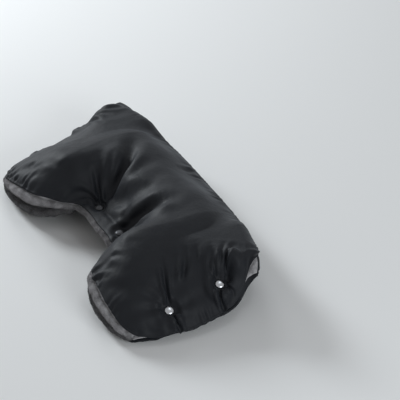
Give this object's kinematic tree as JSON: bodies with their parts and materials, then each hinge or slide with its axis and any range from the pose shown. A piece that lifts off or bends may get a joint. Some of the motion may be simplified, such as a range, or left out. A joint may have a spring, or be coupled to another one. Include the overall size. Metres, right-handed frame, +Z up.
{
  "type": "stroller hand muff",
  "caption": "Padded hand muff that folds round a stroller's handlebar, with plush hand openings on the user's side and press studs that close it.",
  "frame": {"origin": "centre of the footprint's bounding box, on the plane that the muff rests on", "axes": "+X to the user's right along the handlebar, +Y away from the user towards the stroller, +Z up"},
  "size_m": [0.5042, 0.261, 0.1],
  "materials": {
    "black_shell_cloth": "fine water-repellent weave with a low sheen",
    "white_wadding": "soft fibre fleece",
    "grey_plush": "mottled short pile",
    "gunmetal": "satin dark nickel plate",
    "nickel": "plain nickel plate"
  },
  "bodies": {
    "base": {"base_shell": "black_shell_cloth", "base_wadding": "white_wadding", "base_lining": "grey_plush", "base_lip_roll_left": "grey_plush", "base_lip_roll_right": "grey_plush", "snap_stud_front_left": "nickel", "snap_stud_front_right": "nickel", "snap_stud_rear_left": "nickel", "snap_stud_rear_right": "nickel", "snap_stud_waist_left": "nickel", "snap_stud_waist_right": "nickel", "snap_back_front_left": "gunmetal", "snap_back_front_right": "gunmetal", "snap_back_rear_left": "gunmetal", "snap_back_rear_right": "gunmetal", "snap_back_waist_left": "gunmetal", "snap_back_waist_right": "gunmetal"},
    "cover": {"cover_shell": "black_shell_cloth", "cover_wadding": "white_wadding", "cover_lining": "grey_plush", "cover_lip_roll_left": "grey_plush", "cover_lip_roll_right": "grey_plush", "waist_roll": "grey_plush", "snap_cap_front_left": "gunmetal", "snap_cap_front_right": "gunmetal", "snap_cap_rear_left": "gunmetal", "snap_cap_rear_right": "gunmetal", "snap_cap_waist_left": "gunmetal", "snap_cap_waist_right": "gunmetal", "snap_socket_front_left": "nickel", "snap_socket_front_right": "nickel", "snap_socket_rear_left": "nickel", "snap_socket_rear_right": "nickel", "snap_socket_waist_left": "nickel", "snap_socket_waist_right": "nickel"}
  },
  "joints": [
    {"name": "cover_fold", "type": "hinge", "parent": "base", "child": "cover", "pos_m": [0, 0.13125, 0.04626], "axis": [-1, 0, 0], "range_deg": [0, 110]}
  ]
}
